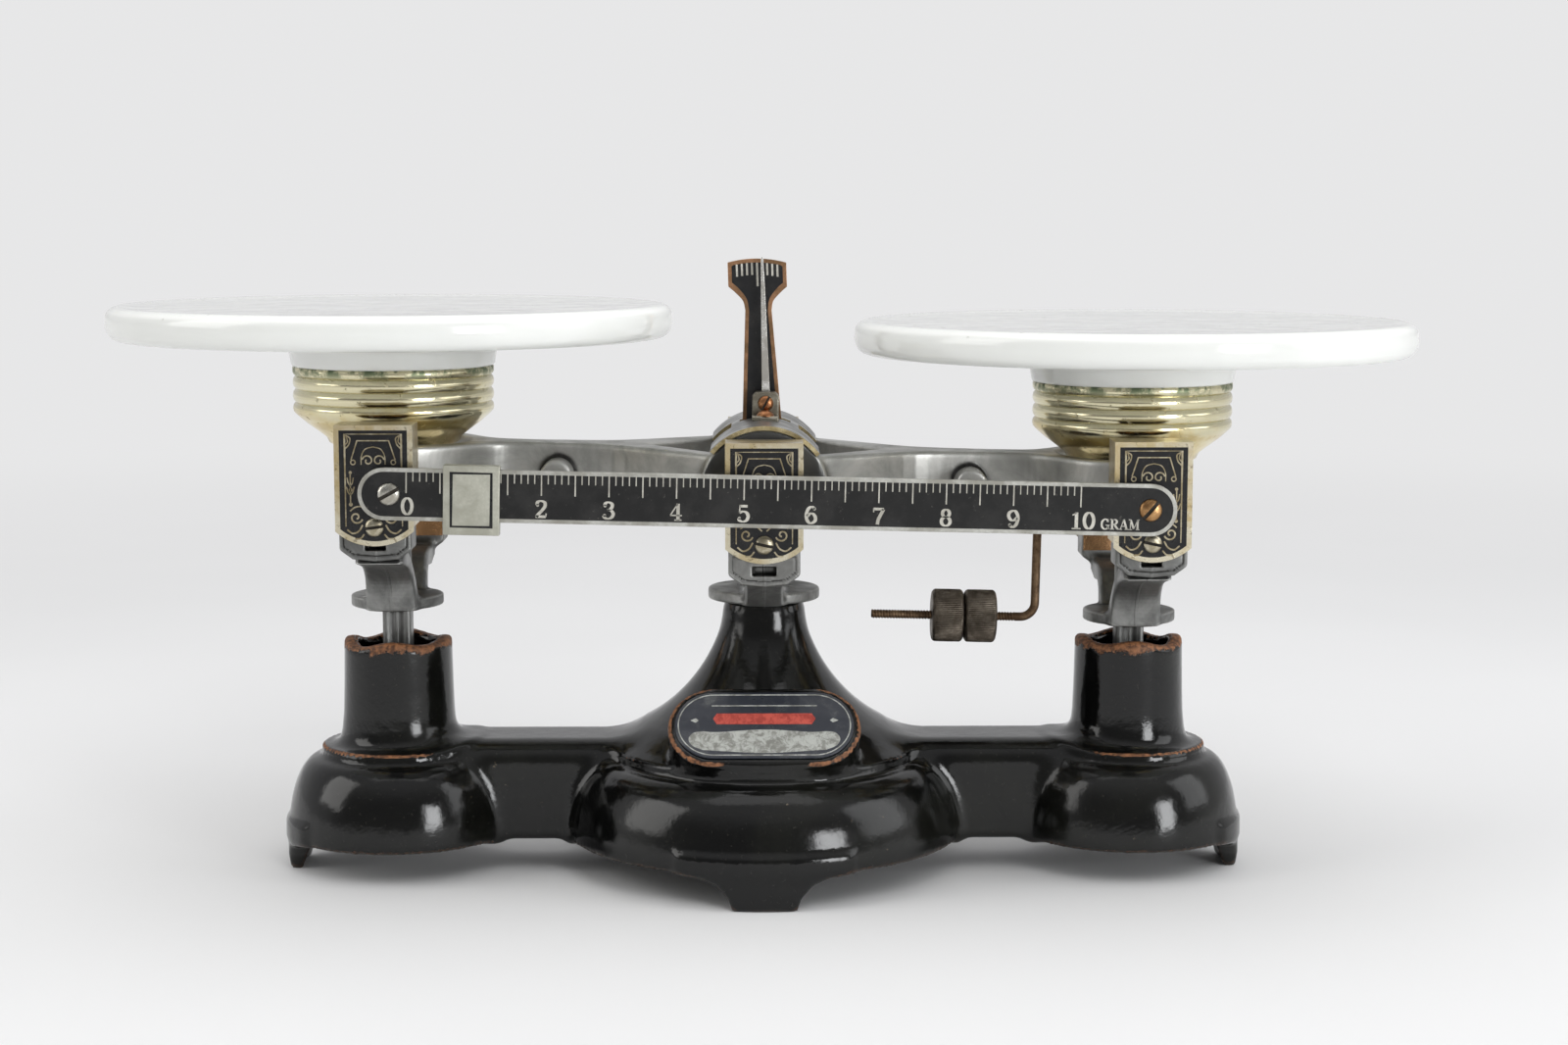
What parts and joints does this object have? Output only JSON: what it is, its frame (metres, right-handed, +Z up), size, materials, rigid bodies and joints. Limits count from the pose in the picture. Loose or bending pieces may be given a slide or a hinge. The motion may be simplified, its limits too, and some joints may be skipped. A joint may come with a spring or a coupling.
{
  "type": "equal-arm trip balance",
  "caption": "Equal-arm laboratory balance with round glass pans on brass cups, a graduated gram beam with a rider, and a flared cast base.",
  "frame": {"origin": "on the table, under the fulcrum, at the middle of the base", "axes": "+X towards the right-hand pan, +Y away from the side that carries the gram scale, +Z up"},
  "size_m": [0.3544, 0.1524, 0.168],
  "materials": {
    "black_enamel": "gloss black enamel over cast iron, worn to rust brown at the edges",
    "label": "dark blue-black printed plate",
    "zinc": "dull grey die casting",
    "steel": "plain steel",
    "bearing": "hardened dark steel",
    "cover": "black and pale gold printed sheet steel",
    "cover_screw": "nickel plated, yellowed",
    "index": "black face with a copper border",
    "copper_screw": "copper plated",
    "saddle": "plated sheet, brass at the cut edge",
    "pointer": "polished steel",
    "scale": "black with a plain metal border",
    "brass": "polished, tarnished in places",
    "rod": "brown oxidised steel",
    "nut": "dark bronze, knurled",
    "rider": "pale greenish grey plating, one black line",
    "milk_glass": "opaque white glass"
  },
  "bodies": {
    "base": {"base_casting": "black_enamel", "name_plate": "label", "fulcrum_bracket": "zinc", "fulcrum_bolt": "steel", "fulcrum_bearings": "bearing", "fulcrum_covers": "cover", "fulcrum_cover_screws": "cover_screw", "index_plate": "index", "index_screws": "copper_screw", "link_pin": "steel"},
    "beam": {"beam_casting": "zinc", "centre_knives": "steel", "end_knives": "steel", "saddle": "saddle", "pointer_block": "zinc", "pointer_block_screw": "copper_screw", "pointer": "pointer", "pointer_screw": "copper_screw", "scale_bar": "scale", "scale_posts": "zinc", "scale_screw_left": "steel", "scale_screw_right": "brass", "counterweight_rod": "rod"},
    "rider": {"rider": "rider"},
    "zero_nut": {"zero_nut": "nut"},
    "lock_nut": {"lock_nut": "nut"},
    "left_carrier": {"carrier_left": "zinc", "bearings_left": "bearing", "covers_left": "cover", "cover_screws_left": "cover_screw", "cup_left": "brass", "cup_screw_left": "steel", "pan_left": "milk_glass"},
    "right_carrier": {"carrier_right": "zinc", "bearings_right": "bearing", "covers_right": "cover", "cover_screws_right": "cover_screw", "cup_right": "brass", "cup_screw_right": "steel", "pan_right": "milk_glass"},
    "check_link": {"check_link": "steel", "link_end_pins": "steel"}
  },
  "joints": [
    {"name": "beam_swing", "type": "hinge", "parent": "base", "child": "beam", "pos_m": [0, 0, 0.106], "axis": [0, 1, 0], "range_deg": [-4.3, 1.7]},
    {"name": "left_carrier_hang", "type": "hinge", "parent": "beam", "child": "left_carrier", "pos_m": [-0.10097, 0, 0.10829], "axis": [0, 1, 0], "range_deg": [-1.7, 4.3]},
    {"name": "right_carrier_hang", "type": "hinge", "parent": "beam", "child": "right_carrier", "pos_m": [0.10097, 0, 0.10371], "axis": [0, 1, 0], "range_deg": [-1.7, 4.3]},
    {"name": "check_link_swing", "type": "hinge", "parent": "base", "child": "check_link", "pos_m": [0, 0, 0.021], "axis": [0, 1, 0], "range_deg": [-4.3, 1.7]},
    {"name": "rider_slide", "type": "slide", "parent": "beam", "child": "rider", "axis": [0.9997, 0, -0.0227], "range_m": [-0.0095, 0.1639]},
    {"name": "zero_nut_travel", "type": "slide", "parent": "beam", "child": "zero_nut", "axis": [0.9997, 0, -0.0227], "range_m": [-0.015, 0]},
    {"name": "lock_nut_travel", "type": "slide", "parent": "beam", "child": "lock_nut", "axis": [0.9997, 0, -0.0227], "range_m": [0, 0.006]}
  ],
  "couplings": [
    {"joint": "left_carrier_hang", "follows": "beam_swing", "ratio": -1},
    {"joint": "right_carrier_hang", "follows": "beam_swing", "ratio": -1},
    {"joint": "check_link_swing", "follows": "beam_swing", "ratio": 1}
  ]
}
